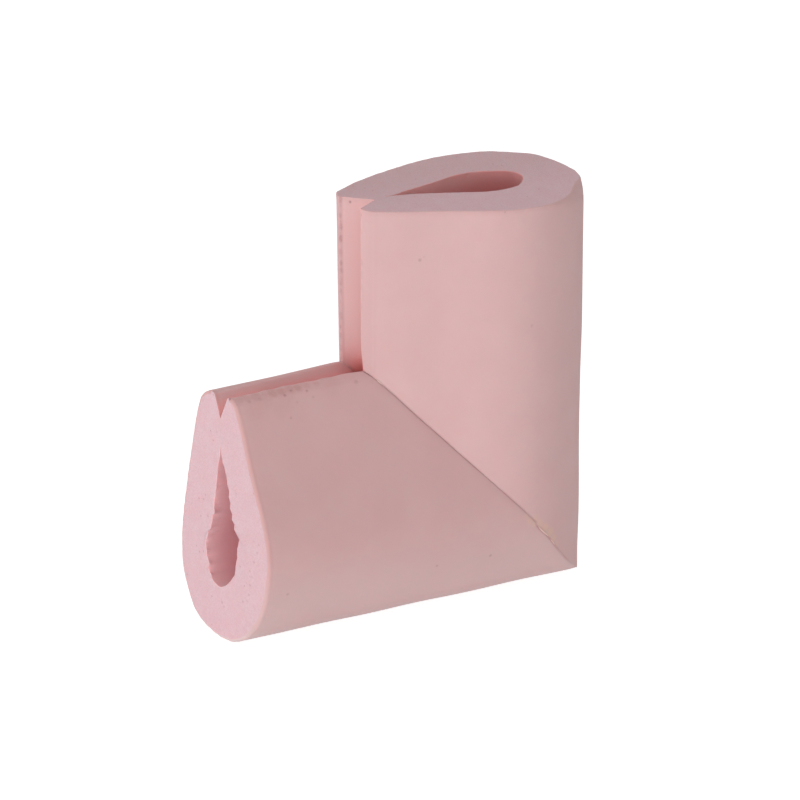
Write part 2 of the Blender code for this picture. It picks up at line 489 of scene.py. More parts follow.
# %% Marks of the blade
SQUEEZE_REACH = 1.6 * MM
TEAR_HEIGHT, TEAR_REACH = 1.5 * MM, 0.9 * MM
SEAM_SINK, SEAM_SINK_REACH = 0.1 * MM, 1.6 * MM
POCKET_REACH = 3.0 * MM
CHATTER, CHATTER_REACH = 0.16 * MM, 0.9 * MM
CHATTER_WAVES = (1.4 * MM, 2.3 * MM)
TEARS = {
    "back": (
        (21.0, 0.12, 0.3), (25.0, 0.2, 0.35), (28.2, -0.15, 0.4), (30.1, 0.15, 0.3),
        (31.7, 0.42, 0.7), (33.0, -0.25, 0.4), (34.3, 0.2, 0.3), (36.4, 0.25, 0.4),
        (37.9, -0.3, 0.35), (40.8, -0.3, 0.6), (43.0, 0.2, 0.35), (44.3, -0.2, 0.4),
        (46.0, 0.25, 0.5), (47.4, -0.25, 0.5), (48.9, 0.3, 0.35),
    ),
    "front": (
        (17.5, 0.15, 0.3), (20.6, -0.15, 0.3), (22.4, 0.2, 0.3), (24.0, -0.2, 0.35),
        (25.6, 0.25, 0.3), (27.0, -0.2, 0.3), (28.3, 0.25, 0.3), (29.6, -0.25, 0.3),
        (30.9, 0.3, 0.3), (32.0, -0.25, 0.3), (33.1, 0.25, 0.35), (35.4, -0.8, 1.3),
        (36.1, 0.15, 0.3), (34.5, -0.12, 0.3), (38.0, 0.15, 0.4), (40.3, -0.15, 0.4),
        (42.8, 0.12, 0.4), (45.0, -0.12, 0.4),
    ),
}


def squeeze(place, end_ring, rows):
    """How far the blade pushed the points at the cut, fading out along the strands."""
    if "cut_front_skin" not in place:
        return 0.0
    pushed = end_ring(*section_loop(place | {"front_skin": place["cut_front_skin"]}))
    push = pushed - end_ring(*section_loop(place))
    return push[None] * np.exp(-(rows / SQUEEZE_REACH) ** 1.5)[..., None]


def torn_rim(depth, across, skin, rows):
    """Teeth and bites round the rim of the hollow at the level cut."""
    rim = np.zeros_like(depth)
    for side, tears in TEARS.items():
        on_side = (across > 0) if side == "back" else (across <= 0)
        for middle, height, width in tears:
            rim -= TEAR_HEIGHT * height * bump_at(depth, middle * MM, width * MM) * on_side
    return np.where(skin, 0.0, rim) * np.exp(-rows / TEAR_REACH)


def lip_chatter(depth, across, rows, to_seam):
    """Uneven line of the front lip, calm again at the seam."""
    short, long = CHATTER_WAVES
    beat = np.sin(rows / short) * np.sin(rows / long + 1.0)
    at_lip = (across < 0) * np.exp(-(depth / CHATTER_REACH) ** 2)
    return CHATTER * beat * at_lip * smooth_step(to_seam, 2 * MM, 9 * MM)


def pocket(to_seam):
    """The inner corner, where the grooves meet and the foam stands open in a small pocket."""
    open_ring = seam_ring(*section_loop(POCKET_PLACE))
    push = open_ring - seam_ring(*section_loop(CORNER_PLACE))
    return push[None] * np.exp(-(to_seam / POCKET_REACH) ** 2)[..., None]


print(sum(map(len, TEARS.values())), "tears round the rim of the level hollow")

# %% [markdown]
# Some colours follow the shape: the lips carry painted shade, the groove and the pocket are redder
# because less light reaches them, the far end of the top hollow is darker with painted shade, the
# underside of the level arm is greyer with painted light bounced up from the floor, and the seam is
# a soft dark line that comes and goes. Each of these is a value at every point of an arm, mostly
# from 0 to 1. The materials read them by name.

# %% Marks painted on the points
LIP_BACK, LIP_CREST, FRONT_LIP_SHARE = (0.9 * MM, 2.6 * MM), (0.2 * MM, 0.65 * MM), 0.5
GROOVE_START = (0.8 * MM, 4 * MM)
DEEP_END = (34 * MM, 46 * MM)
NOSE_TURN, UNDERSIDE = (32 * MM, 54 * MM), (57 * MM, 62 * MM)
CORNER_REACH = 7.0 * MM
POCKET_DEPTH, POCKET_WIDTH, POCKET_STAIN = 6.0 * MM, 4.2 * MM, 4.0 * MM
SEAM_PAINT, SEAM_END = 0.42 * MM, (53 * MM, 57 * MM)
INK_MARKS = np.array([0, 2, 4, 25, 27, 31, 33, 39, 41, 49, 51]) * MM
SEAM_INK = (0.5, 0.5, 0.95, 0.95, 0.25, 0.45, 1.05, 0.85, 1.55, 1.5, 0.9)


def painted_marks(depth, across, seam_depth, rows, to_seam):
    """Named values at every point of an arm, for its materials."""
    steps = np.arange(len(depth))
    skin = steps <= CHAIN_STEPS
    inside = (steps > CHAIN_STEPS + OPENING_STEPS) & (steps < 2 * CHAIN_STEPS - OPENING_STEPS)
    lip = np.where(skin, fading(depth, *LIP_BACK), fading(depth, *LIP_CREST))
    # nose: painted light from the floor, greyer towards the underside
    nose = (smooth_step(depth, *NOSE_TURN) + smooth_step(depth, *UNDERSIDE)) / 2
    ink = np.interp(seam_depth, INK_MARKS, SEAM_INK) * fading(seam_depth, *SEAM_END)
    near_pocket = np.exp(-(to_seam / POCKET_STAIN) ** 2)
    return {
        "from_cut": rows / MM,
        "inside": inside,
        "groove": ~skin * ~inside * smooth_step(depth, *GROOVE_START),
        "corner": np.exp(-(to_seam / CORNER_REACH) ** 2),
        "pocket": ~skin * bump_at(depth, POCKET_DEPTH, POCKET_WIDTH) * near_pocket,
        "deep_end": inside * smooth_step(depth, *DEEP_END),
        "nose": skin * nose,
        "lip": lip * ~inside * np.where(across > 0, 1.0, FRONT_LIP_SHARE),
        "seam_line": skin * ink * np.exp(-(to_seam / SEAM_PAINT) ** 2),
    }


print("the seam shows least at", INK_MARKS[np.argmin(SEAM_INK)] / MM, "mm from the lips")

# %% [markdown]
# Now the arm itself. Its rows of points become one skin of faces, and each end is closed by a grid
# of faces between the outer and the inner chain. The cut faces are shaded flat, and the rim of the
# hollow is marked as a crisp edge.

# %% Build an arm
WALL_STEPS = 18
CALM_SEAM, CALM_SLIT = 9 * MM, 14 * MM
CREASE_ANGLE = math.radians(55)


def arm_points(place, end_ring, seam_side, axes, skin_edge, sunk, seed):
    """Rows of points of one arm from its cut end to the seam, and the marks painted on them."""
    depth, across = section_loop(place)
    seam_depth, seam_across = section_loop(CORNER_PLACE)
    steps = np.arange(len(depth))
    skin = steps <= CHAIN_STEPS
    start = end_ring(depth, across)
    finish = seam_ring(seam_depth, seam_across)
    finish += seam_side * GLUE_HALF_GAP * np.sqrt(0.5) * skin[:, None]
    lengths = np.linalg.norm(finish - start, axis=1)
    along = (finish - start) / lengths[:, None]
    rows = strand_rows(lengths)
    to_seam = lengths[None] - rows
    points = start[None] + along[None] * rows[..., None]
    points += squeeze(place, end_ring, rows) + pocket(to_seam)
    end_into, seam_into = inward(depth, across), inward(seam_depth, seam_across)
    share = (rows / lengths)[..., None]
    end_way = end_into[0][:, None] * axes[0] + end_into[1][:, None] * axes[1]
    seam_way = seam_into[0][:, None] * axes[0] + seam_into[1][:, None] * axes[1]
    way = end_way[None] * (1 - share) + seam_way[None] * share
    move = waves(points, SKIN_WAVE_SIZE, seed) * SKIN_WAVE * smooth_step(to_seam, 0, CALM_SEAM)
    move += waves(points, RIM_WAVE_SIZE, seed + 1) * RIM_WAVE * np.exp(-rows / RIM_REACH)
    past_slit = smooth_step(depth, SLIT_END_DEPTH, SLIT_END_DEPTH + CALM_SLIT)
    move = move * np.where(skin, 1.0, past_slit)[None]
    if place is LEVEL_PLACE:
        move += torn_rim(depth, across, skin, rows) + lip_chatter(depth, across, rows, to_seam)
    move += sunk * skin * np.exp(-(to_seam / SEAM_SINK_REACH) ** 2)
    move += SEAM_DIP * skin * np.clip(1 - to_seam / SEAM_WIDTH, 0, 1) ** 2
    move += draw_in(rows, edge_radius(depth, skin, skin_edge)[None])
    painted = painted_marks(depth, across, seam_depth, rows, to_seam)
    return points + way * move[..., None], painted


def close_end(bm, row, turned):
    """Close one end with a grid of faces between the outer and the inner chain."""
    outer = row[:CHAIN_STEPS + 1]
    inner = [row[0]] + row[:CHAIN_STEPS:-1] + [row[CHAIN_STEPS]]
    lines = [outer]
    for t in np.linspace(0, 1, WALL_STEPS + 1)[1:-1]:
        middle = [bm.verts.new(a.co.lerp(b.co, t)) for a, b in zip(outer[1:-1], inner[1:-1])]
        lines.append([row[0]] + middle + [row[CHAIN_STEPS]])
    lines.append(inner)
    for first, second in zip(lines, lines[1:]):
        for i in range(CHAIN_STEPS):
            corners = [first[i], first[i + 1], second[i + 1], second[i]]
            unique = [vert for n, vert in enumerate(corners) if vert not in corners[:n]]
            bm.faces.new(unique if turned else unique[::-1])


def finished_mesh(name, bm):
    mesh = bpy.data.meshes.new(name)
    bm.to_mesh(mesh)
    bm.free()
    return mesh


def build_arm(name, points, painted):
    bm = bmesh.new()
    layers = {word: bm.verts.layers.float.new(word) for word in painted}
    rows = [[bm.verts.new(point) for point in row] for row in points]
    for word, values in painted.items():
        for row, row_values in zip(rows, np.broadcast_to(values, points.shape[:2])):
            for vert, value in zip(row, row_values):
                vert[layers[word]] = value
    for upper, lower in zip(rows, rows[1:]):
        for i in range(len(upper)):
            bm.faces.new((upper[i - 1], upper[i], lower[i], lower[i - 1]))
    skin_faces = len(bm.faces)
    close_end(bm, rows[0], False)
    close_end(bm, rows[-1], True)
    bm.faces.ensure_lookup_table()
    for face in bm.faces[skin_faces:]:
        face.material_index = 1
    bmesh.ops.recalc_face_normals(bm, faces=bm.faces)
    mesh = finished_mesh(name, bm)
    mesh.shade_smooth()
    mesh.set_sharp_from_angle(angle=CREASE_ANGLE)
    for face in mesh.polygons[skin_faces:]:
        face.use_smooth = False
    crisp = mesh.attributes["sharp_edge"].data
    for edge in mesh.edges:
        if all(CHAIN_STEPS <= index < 2 * CHAIN_STEPS for index in edge.vertices):
            crisp[edge.index].value = True
    return add_object(name, mesh)


X_WAY, Y_WAY, Z_WAY = np.eye(3)
TOWARDS_UPRIGHT = X_WAY + Z_WAY
TOP_EDGE, LEVEL_EDGE = 0.4 * MM, 0.9 * MM
upright_axes, level_axes = (X_WAY, Y_WAY), (-Z_WAY, Y_WAY)
upright_parts = (TOP_PLACE, top_ring, TOWARDS_UPRIGHT, upright_axes, TOP_EDGE, 0.0, 1)
level_parts = (LEVEL_PLACE, level_ring, -TOWARDS_UPRIGHT, level_axes, LEVEL_EDGE, SEAM_SINK, 2)
upright = build_arm("upright_foam", *arm_points(*upright_parts))
level = build_arm("level_foam", *arm_points(*level_parts))
for arm, node in ((upright, "upright_arm"), (level, "level_arm")):
    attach(arm, "root")
    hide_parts(node)
    print(arm.name, len(arm.data.polygons), "faces")

# %% [markdown]
# Materials are built from small nodes. This helper adds a node, sets its values and wires it to
# others in one line. A value that is itself an output is linked, and anything else is typed in.

# %% Helpers for materials
class Recipe:
    """One material's node tree, with short ways to add to it."""

    def __init__(self, name):
        self.material = bpy.data.materials.new(name)
        self.material.use_nodes = True
        self.nodes = self.material.node_tree.nodes
        self.links = self.material.node_tree.links
        self.shader = self.nodes["Principled BSDF"]
        coordinates = self.nodes.new("ShaderNodeTexCoord")
        self.place = coordinates.outputs["Object"]

    def put(self, socket, value):
        if isinstance(value, bpy.types.NodeSocket):
            self.links.new(value, socket)
        else:
            socket.default_value = value

    def add(self, kind, output=0, inputs=(), **settings):
        node = self.nodes.new(kind)
        for name, value in settings.items():
            setattr(node, name, value)
        for key, value in dict(inputs).items():
            self.put(node.inputs[key], value)
        return node.outputs[output]

    def painted(self, word):
        """The value that the modelling cells painted on the points of the mesh."""
        return self.add("ShaderNodeAttribute", output="Fac", attribute_name=word)

    def math(self, operation, first, second=0.0):
        return self.add("ShaderNodeMath", inputs={0: first, 1: second}, operation=operation)

    def noise(self, size, detail=2.0):
        """Cloudy noise with features of about this size, from 0 to 1."""
        inputs = {"Vector": self.place, "Scale": 1 / size, "Detail": detail}
        return self.add("ShaderNodeTexNoise", inputs=inputs)

    def ramp(self, value, low, high, start=0.0, end=1.0):
        inputs = {"Value": value, "From Min": low, "From Max": high, "To Min": start, "To Max": end}
        return self.add("ShaderNodeMapRange", inputs=inputs, interpolation_type="SMOOTHSTEP")

    def tint(self, amount, first, second):
        inputs = {"Factor": amount, 6: first, 7: second}
        return self.add("ShaderNodeMix", output=2, inputs=inputs, data_type="RGBA")

    def tint_mark(self, word, strength, first, second):
        """Tint by a painted value times a strength."""
        return self.tint(self.math("MULTIPLY", self.painted(word), strength), first, second)

    def spot(self, centre, radius, strength=1.0, stretch=1.0):
        """Full strength inside a small ball, drawn out upwards where stretch is under 1."""
        shrink = (1.0, 1.0, stretch)
        kind = "ShaderNodeVectorMath"
        place = self.add(kind, inputs={0: self.place, 1: shrink}, operation="MULTIPLY")
        centre = [value * scale for value, scale in zip(centre, shrink)]
        gap = self.add(kind, output="Value", inputs={0: place, 1: centre}, operation="DISTANCE")
        return self.ramp(gap, radius * 0.4, radius * 1.3, strength, 0.0)

    def most(self, masks):
        total = masks[0]
        for mask in masks[1:]:
            total = self.math("MAXIMUM", total, mask)
        return total

    def bump(self, height, distance, strength, normal=None):
        inputs = {"Height": height, "Distance": distance, "Strength": strength}
        if normal is not None:
            inputs["Normal"] = normal
        return self.add("ShaderNodeBump", inputs=inputs)

    def set(self, **values):
        for name, value in values.items():
            self.put(self.shader.inputs[name.replace("_", " ")], value)


def rgb(red, green, blue):
    return (red, green, blue, 1.0)


print("helpers ready")

# %% [markdown]
# The skin of the foam is matt, with a faint cloudy colour and a grain that only shows close up.
# Light sinks a little way into foam and comes out redder, which is what subsurface does. The
# painted marks tint it next, with strengths that differ between the arms. The level arm is the same
# foam painted a little darker, as painted shade, the hollows carry painted light and shade, and a
# salmon band of painted glow follows the rounded skin edge at each cut. Small dark nicks sit along
# the lips, where the foam rubbed on its packing, a few specks of dirt lie on the flanks, a band of
# painted shade runs along the rounded crest of the level lip, and amber glue is smeared near the
# jog of the seam. They are given in millimetres, as x, y, z, radius and strength.

# %% Foam skin
SKIN_PINK = rgb(0.785, 0.52, 0.515)
SKIN_DEEP = rgb(0.77, 0.50, 0.495)
# painted shade: the level arm is the same foam as the upright, painted a little darker
LEVEL_SHADED_PINK = rgb(0.74, 0.475, 0.47)
LEVEL_SHADED_DEEP = rgb(0.725, 0.455, 0.45)
# painted light and shade in the hollows: the top one turns darker and redder away from the cut, and
# the level one is paler where the lamp shines in
TOP_HOLLOW_LIGHT_AND_SHADE = (rgb(0.86, 0.47, 0.46), rgb(0.75, 0.27, 0.265))
LEVEL_HOLLOW_LIGHT = (rgb(0.90, 0.56, 0.58), rgb(0.86, 0.45, 0.48))
TOP_GROOVE, LEVEL_GROOVE = rgb(0.80, 0.40, 0.39), rgb(0.97, 0.42, 0.415)
# painted shade at the far end of the top hollow
DEEP_END_SHADE_RED = rgb(0.62, 0.20, 0.205)
POCKET_RED = rgb(0.79, 0.17, 0.15)
# painted light: the underside turns greyer, for white light bounced up from the floor
UNDERSIDE_BOUNCE_GREY = rgb(0.71, 0.55, 0.545)
# painted shade: the lips are darkened towards this colour
LIP_SHADE_PINK = rgb(0.64, 0.40, 0.405)
# painted glow: a salmon band on the rounded skin edge at each cut, for light scattered out of the
# thin edge
EDGE_GLOW_SALMON = rgb(0.65, 0.385, 0.375)
SPECK_BROWN = rgb(0.30, 0.12, 0.12)
# painted shade along the rounded crest of the level lip
CREST_SHADE_BROWN = rgb(0.52, 0.25, 0.22)
SEAM_MAUVE = rgb(0.48, 0.165, 0.165)
SMEAR_AMBER = rgb(0.83, 0.55, 0.425)
SCATTER_RADIUS = (1.0, 0.38, 0.34)
SCATTER_DEPTH = 1.6 * MM
NICK_STRETCH = 0.5
SEAM_STRENGTH = 0.33
UPRIGHT_SPECKS = (
    (2.05, 3.5, 40.75, 0.4, 0.6), (12.0, -12.5, 28.8, 0.5, 0.3), (12.9, -12.9, 29.5, 0.25, 0.2),
    (38.7, -21.3, 9.8, 0.45, 0.2), (31.2, -20.3, 39.8, 0.3, 0.25), (43.2, -19.5, 39.9, 0.3, 0.25),
    (53.6, -17.1, 4.8, 0.35, 0.2), (0.1, -4.7, 40.1, 0.4, 0.4),
)
LIP_NICKS = (
    (0.25, 5, 41.2, 0.5, 0.3), (0.2, 5, 39.7, 0.3, 0.12), (0.25, 5.1, 37.3, 0.45, 0.24),
    (0.2, 4.9, 35.3, 0.4, 0.18), (0.3, 4.9, 34.4, 0.5, 0.3), (0.2, 5, 32.6, 0.3, 0.15),
    (0.2, 4.9, 31.4, 0.55, 0.42), (0.25, 5, 27.9, 0.6, 0.21), (0.3, 4.8, 25.2, 0.45, 0.3),
    (0.3, 4.8, 23.4, 0.6, 0.24), (0.25, 4.7, 21.2, 0.4, 0.18), (0.25, 4.9, 20.2, 0.5, 0.21),
    (0.2, 4.8, 17.9, 0.45, 0.18), (0.2, 4.9, 15.3, 0.3, 0.12), (0.2, 4.7, 11.7, 0.6, 0.21),
    (0.2, 4.8, 8.9, 0.4, 0.24), (0.2, 4.7, 6.6, 0.5, 0.24), (0.2, 4.8, 3.4, 0.6, 0.21),
    (0.25, 4.7, 1.2, 0.5, 0.24), (0.1, -4.8, 35.8, 0.45, 0.12), (0.1, -4.8, 28.2, 0.6, 0.12),
    (0.1, -4.8, 24.9, 0.6, 0.12), (0.1, -4.7, 21.7, 0.5, 0.12), (0.1, -4.7, 17, 0.5, 0.09),
)
LEVEL_SPECKS = (
    (-36.5, -4.3, -0.25, 0.36, 0.7), (-32.5, -6.6, -0.85, 0.5, 0.2),
    (-29.4, -6.6, -0.9, 0.5, 0.15), (-22.7, -6.9, -1.05, 0.42, 0.5),
    (-20.6, -6.1, -0.55, 0.45, 0.4), (-16.6, -6.9, -1.05, 0.42, 0.35),
    (-22.7, -9.7, -5.9, 0.4, 0.25), (-20.0, -8.1, -2.9, 0.4, 0.15),
    (-15.4, -7.9, -2.5, 0.4, 0.15), (-2.9, -7.3, -1.2, 0.6, 0.25),
    (28.2, -19.85, -48.6, 0.45, 0.3), (12.5, -20.0, -48.0, 0.4, 0.25),
    (-29.9, -19.9, -46.4, 0.45, 0.3),
)
UPRIGHT_SMEARS = (
    (40.6, 0.8, 1.1, 0.35), (42.2, 1.0, 1.3, 0.45), (43.9, 1.2, 1.3, 0.6),
    (45.6, 1.2, 1.4, 0.65), (47.3, 1.1, 1.2, 0.5), (48.9, 0.8, 1.1, 0.35),
)
LEVEL_SMEARS = ((38.8, -0.7, 0.9, 0.3), (40.0, -0.8, 1.1, 0.4), (41.3, -0.6, 1.0, 0.45))
# spots of painted shade along the rounded crest of the level front lip
LEVEL_CREST_SHADE = (
    (-33.0, -4.5, -0.6, 1.4, 0.3), (-29.5, -4.5, -0.7, 1.5, 0.35), (-25.0, -4.5, -0.7, 1.5, 0.35),
    (-20.5, -4.5, -0.7, 1.5, 0.35), (-16.5, -4.5, -0.6, 1.3, 0.3), (-11.0, -4.7, -0.5, 1.3, 0.2),
    (-31.0, -7.4, -2.2, 3.6, 0.12), (-24.0, -7.4, -2.2, 3.6, 0.12), (-10.0, -6.0, -1.0, 3.4, 0.1),
    (-34.5, -5.6, -0.3, 1.2, 0.35), (-32.5, -5.7, -0.3, 1.5, 0.25), (-30.0, -5.7, -0.35, 1.7, 0.35),
    (-27.6, -5.7, -0.3, 1.4, 0.25), (-25.5, -5.6, -0.3, 1.7, 0.4), (-23.0, -5.7, -0.3, 1.6, 0.45),
    (-20.6, -5.6, -0.3, 1.5, 0.35), (-18.4, -5.6, -0.3, 1.4, 0.4), (-16.0, -5.6, -0.25, 1.2, 0.25),
    (-13.0, -5.6, -0.25, 1.1, 0.2), (-28.0, -6.6, -1.0, 3.0, 0.16), (-22.5, -6.6, -1.0, 2.8, 0.14),
)


def beside_seam(depth, aside, radius, strength):
    """A spot on the skin at a depth along the seam and a little to one side of it."""
    depth = np.array([depth * MM])
    place = seam_ring(depth, skin_at(CORNER_PLACE, FRONT, depth))[0]
    place = place + aside * MM * np.sqrt(0.5) * TOWARDS_UPRIGHT
    return (*(place / MM), radius, strength)


def make_skin(name, colours, hollow_light_and_shade, groove_colour, strengths, marks):
    """Matt foam skin. Each group of marks has a shade, a stretch, a brokenness and its spots."""
    skin = Recipe(name)
    cloud = skin.noise(9 * MM)
    grain = skin.noise(0.7 * MM, 3.0)
    peel = skin.noise(2.6 * MM)
    colour = skin.tint(skin.ramp(cloud, 0.2, 0.8), *colours)
    inside = skin.painted("inside")
    from_cut = skin.painted("from_cut")
    # painted light and shade in the hollow, over the first 8 mm from the cut
    hollow = skin.tint(skin.ramp(from_cut, 0.0, 8.0), *hollow_light_and_shade)
    # painted glow along the rounded skin edge at the cut
    near_cut = skin.ramp(from_cut, 0.4, 1.6, strengths["rim"], 0.0)
    rim = skin.math("MULTIPLY", near_cut, skin.math("SUBTRACT", 1.0, inside))
    colour = skin.tint(rim, colour, EDGE_GLOW_SALMON)
    # painted light from the floor on the underside
    colour = skin.tint_mark("nose", strengths["nose"], colour, UNDERSIDE_BOUNCE_GREY)
    # painted shade on the lips
    colour = skin.tint_mark("lip", strengths["lip"], colour, LIP_SHADE_PINK)
    redder = skin.math("MAXIMUM", skin.painted("corner"), strengths["groove"])
    redder = skin.math("MULTIPLY", redder, skin.ramp(from_cut, 0.0, 8.0, 0.45, 1.0))
    colour = skin.tint_mark("groove", redder, colour, groove_colour)
    colour = skin.tint(inside, colour, hollow)
    # painted shade at the far end of the hollow
    colour = skin.tint_mark("deep_end", strengths["deep_end"], colour, DEEP_END_SHADE_RED)
    colour = skin.tint_mark("pocket", strengths["pocket"], colour, POCKET_RED)
    colour = skin.tint_mark("seam_line", SEAM_STRENGTH, colour, SEAM_MAUVE)
    for shade, stretch, broken, spots in marks:
        masks = []
        for *centre, radius, strength in spots:
            centre = [value * MM for value in centre]
            masks.append(skin.spot(centre, radius * MM, strength, stretch))
        patchy = skin.ramp(grain, 0.25, 0.6, 1.0 - broken, 1.0)
        colour = skin.tint(skin.math("MULTIPLY", skin.most(masks), patchy), colour, shade)
    normal = skin.bump(peel, 0.10 * MM, 0.35)
    normal = skin.bump(grain, 0.05 * MM, 0.4, normal)
    skin.set(
        Base_Color=colour,
        Roughness=skin.ramp(grain, 0.2, 0.8, 0.72, 0.86),
        Specular_IOR_Level=0.25,
        Subsurface_Weight=0.35,
        Subsurface_Radius=SCATTER_RADIUS,
        Subsurface_Scale=SCATTER_DEPTH,
        Normal=normal,
    )
    return skin.material


upright_smears = [beside_seam(*smear) for smear in UPRIGHT_SMEARS]
level_smears = [beside_seam(*smear) for smear in LEVEL_SMEARS]
upright_marks = (
    (SMEAR_AMBER, 1.0, 0.15, upright_smears),
    (SPECK_BROWN, 1.0, 0.65, UPRIGHT_SPECKS),
    (SPECK_BROWN, NICK_STRETCH, 0.65, LIP_NICKS),
)
level_marks = (
    (CREST_SHADE_BROWN, 1.0, 0.5, LEVEL_CREST_SHADE),
    (SMEAR_AMBER, 1.0, 0.15, level_smears),
    (SPECK_BROWN, 1.0, 0.65, LEVEL_SPECKS),
)
upright_strengths = {
    "rim": 0.2, "nose": 0.0, "lip": 0.9, "groove": 0.1, "deep_end": 0.3, "pocket": 1.0,
}
level_strengths = {
    "rim": 0.7, "nose": 1.0, "lip": 0.15, "groove": 0.85, "deep_end": 0.0, "pocket": 0.35,
}
upright_colours = ((SKIN_PINK, SKIN_DEEP), TOP_HOLLOW_LIGHT_AND_SHADE, TOP_GROOVE)
level_colours = ((LEVEL_SHADED_PINK, LEVEL_SHADED_DEEP), LEVEL_HOLLOW_LIGHT, LEVEL_GROOVE)
upright_skin = make_skin("upright_skin", *upright_colours, upright_strengths, upright_marks)
level_skin = make_skin("level_skin", *level_colours, level_strengths, level_marks)
print("skin materials:", upright_skin.name, level_skin.name)

# %% [markdown]
# A cut through foam opens its cells. The face is paler and cooler than the skin, covered in tiny
# cells, with a few larger pits. On the level end the blade left pits in an arc. The top cut carries
# painted light in front and painted shade at the back.

# %% Cut foam
CUT_LILAC = rgb(0.74, 0.525, 0.565)
CUT_PINK = rgb(0.735, 0.49, 0.525)
CELL_ROSE = rgb(0.64, 0.41, 0.44)
PIT_BROWN = rgb(0.50, 0.24, 0.27)
# painted light at the front of the top cut and painted shade at its back
FRONT_LIGHT_PINK, BACK_SHADE_PINK = rgb(0.93, 0.60, 0.63), rgb(0.68, 0.44, 0.42)
CUT_FRONT, CUT_BACK = -14 * MM, 14 * MM
LEVEL_PITS = (
    (33.5, -16.9, 0.3), (35.9, -16.0, 0.35), (38.7, -14.5, 0.35), (41.7, -12.6, 0.35),
    (42.9, -13.5, 0.3), (45.4, -12.5, 0.35), (48.1, -12.0, 0.35), (50.0, -11.0, 0.3),
    (50.9, -9.1, 0.35), (54.3, 0.7, 0.4), (55.1, -0.2, 0.3), (54.3, 5.4, 0.3),
    (34.8, 10.0, 0.35), (33.7, 6.6, 0.3), (30.4, 10.7, 0.35), (29.9, 8.4, 0.35),
)


def make_cut(name, pits, front_light_share, back_shade_share):
    """Open cells with fine pits, and named larger pits as (depth, across, radius)."""
    cut = Recipe(name)
    cloud = cut.noise(3.2 * MM, 3.0)
    cell_inputs = {"Vector": cut.place, "Scale": 1 / (0.5 * MM)}
    cells = cut.add("ShaderNodeTexVoronoi", output="Distance", inputs=cell_inputs)
    fine = cut.noise(0.3 * MM, 2.0)
    pit_inputs = {"Vector": cut.place, "Scale": 1 / (2.2 * MM)}
    pit_gap = cut.add("ShaderNodeTexVoronoi", output="Distance", inputs=pit_inputs)
    small_pits = cut.ramp(pit_gap, 0.05, 0.14, 0.7, 0.0)
    sparse = cut.ramp(cut.noise(6 * MM), 0.48, 0.62)
    pitted = cut.math("MULTIPLY", small_pits, sparse)
    if pits:
        places = [level_ring(np.array(depth * MM), np.array(y * MM)) for depth, y, radius in pits]
        named = cut.most([cut.spot(place, pit[2] * MM) for place, pit in zip(places, pits)])
        pitted = cut.math("MAXIMUM", pitted, cut.math("MULTIPLY", named, 0.45))
    colour = cut.tint(cut.ramp(cloud, 0.35, 0.65), CUT_LILAC, CUT_PINK)
    colour = cut.tint(cut.ramp(cells, 0.25, 0.75, 0.0, 0.45), colour, CELL_ROSE)
    colour = cut.tint(cut.ramp(fine, 0.35, 0.7, 0.0, 0.5), colour, CUT_PINK)
    across = cut.add("ShaderNodeSeparateXYZ", output="Y", inputs={"Vector": cut.place})
    # painted light towards the front, painted shade towards the back
    colour = cut.tint(cut.ramp(across, CUT_FRONT, CUT_BACK, front_light_share, 0.0), colour, FRONT_LIGHT_PINK)
    colour = cut.tint(cut.ramp(across, CUT_FRONT, CUT_BACK, 0.0, back_shade_share), colour, BACK_SHADE_PINK)
    colour = cut.tint(pitted, colour, PIT_BROWN)
    height = cut.math("SUBTRACT", cut.math("MULTIPLY", cells, -0.6), pitted)
    height = cut.math("ADD", height, cut.math("MULTIPLY", fine, 0.5))
    normal = cut.bump(cloud, 0.25 * MM, 0.3)
    normal = cut.bump(height, 0.16 * MM, 0.6, normal)
    cut.set(
        Base_Color=colour,
        Roughness=0.9,
        Specular_IOR_Level=0.15,
        Subsurface_Weight=0.35,
        Subsurface_Radius=SCATTER_RADIUS,
        Subsurface_Scale=SCATTER_DEPTH,
        Normal=normal,
    )
    return cut.material


upright.data.materials.append(upright_skin)
upright.data.materials.append(make_cut("upright_foam_cut", (), 0.2, 0.33))
level.data.materials.append(level_skin)
level.data.materials.append(make_cut("level_foam_cut", LEVEL_PITS, 0.0, 0.0))
print(len(LEVEL_PITS), "named pits on the level cut")

# %% [markdown]
# The two mitred faces are joined by a thin layer of glue. It follows the same wandering mitre as
# the arms and stops just under the skin, so the seam shows only as a soft dark line. Where a little
# glue squeezed out, a tapered bead lies along the seam. Each bead has a first and a last depth, a
# radius and a place beside the seam.

# %% Glue layer
GLUE_INSET = 0.24 * MM
GLUE_HALF_THICKNESS = 0.006 * MM
BEADS = ((42.3, 45.6, 0.26, 0.12), (46.6, 48.4, 0.14, 0.05), (2.2, 3.4, 0.2, 0.1))
BEAD_STEPS, BEAD_SIDES = 24, 10


